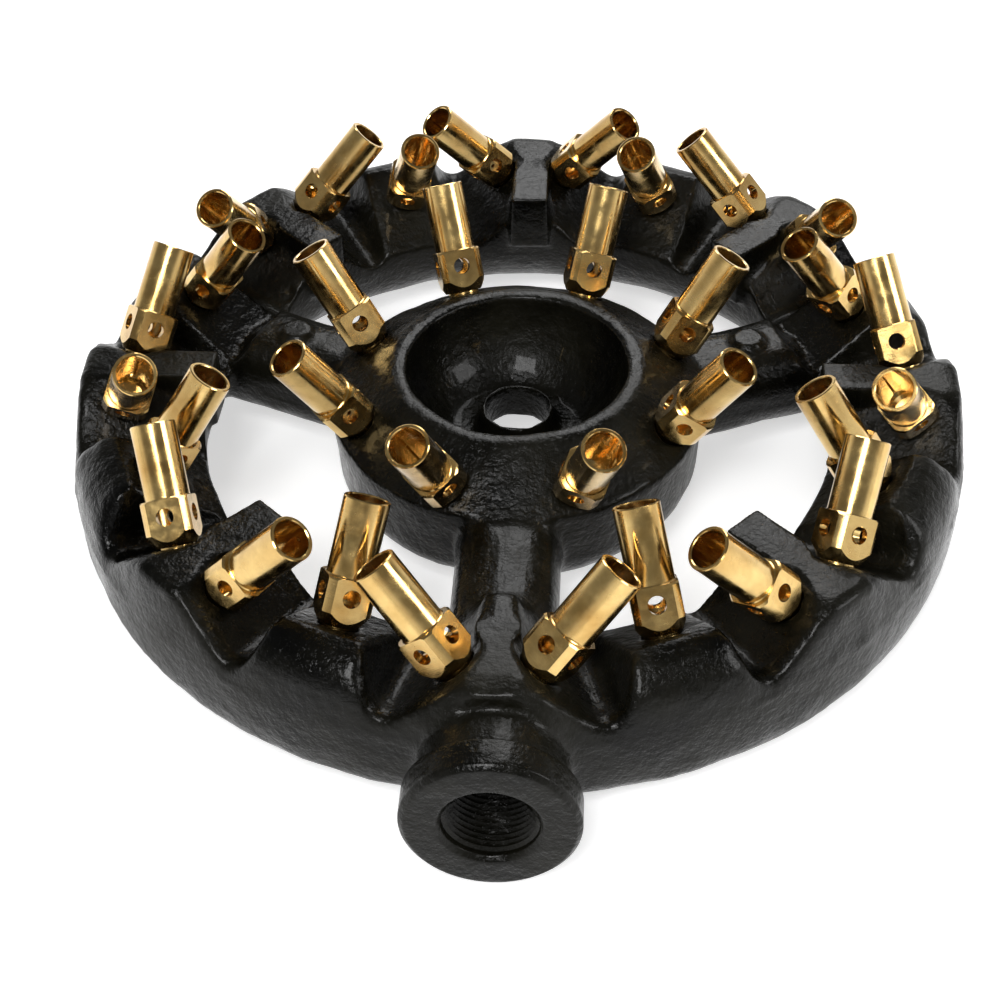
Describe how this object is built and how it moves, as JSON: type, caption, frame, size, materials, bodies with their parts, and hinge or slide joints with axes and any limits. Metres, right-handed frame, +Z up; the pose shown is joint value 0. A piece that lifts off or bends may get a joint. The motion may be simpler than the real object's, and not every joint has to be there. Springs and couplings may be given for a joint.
{
  "type": "ring jet gas burner",
  "caption": "Ring jet gas burner: hollow cast-iron ring and hub on three spokes, threaded side inlet, open bowl, and screwed-in brass jets leaning together in groups.",
  "frame": {"origin": "centre of the hub's through hole at its lower end, on the ring's axis", "axes": "+Z up along the ring's axis, gas inlet towards -Y"},
  "size_m": [0.26, 0.279, 0.0714],
  "materials": {
    "cast_iron": "glossy black paint over sand-cast iron",
    "brass": "bright turned brass"
  },
  "bodies": {
    "root": {"burner_casting": "cast_iron", "jet_outer_01": "brass", "jet_outer_02": "brass", "jet_outer_03": "brass", "jet_outer_04": "brass", "jet_outer_05": "brass", "jet_outer_06": "brass", "jet_outer_07": "brass", "jet_outer_08": "brass", "jet_outer_09": "brass", "jet_outer_10": "brass", "jet_outer_11": "brass", "jet_outer_12": "brass", "jet_outer_13": "brass", "jet_outer_14": "brass", "jet_outer_15": "brass", "jet_outer_16": "brass", "jet_outer_17": "brass", "jet_outer_18": "brass", "jet_outer_19": "brass", "jet_outer_20": "brass", "jet_outer_21": "brass", "jet_outer_22": "brass", "jet_outer_23": "brass", "jet_outer_24": "brass", "jet_hub_01": "brass", "jet_hub_02": "brass", "jet_hub_03": "brass", "jet_hub_04": "brass", "jet_hub_05": "brass", "jet_hub_06": "brass", "jet_hub_07": "brass", "jet_hub_08": "brass"}
  },
  "joints": []
}
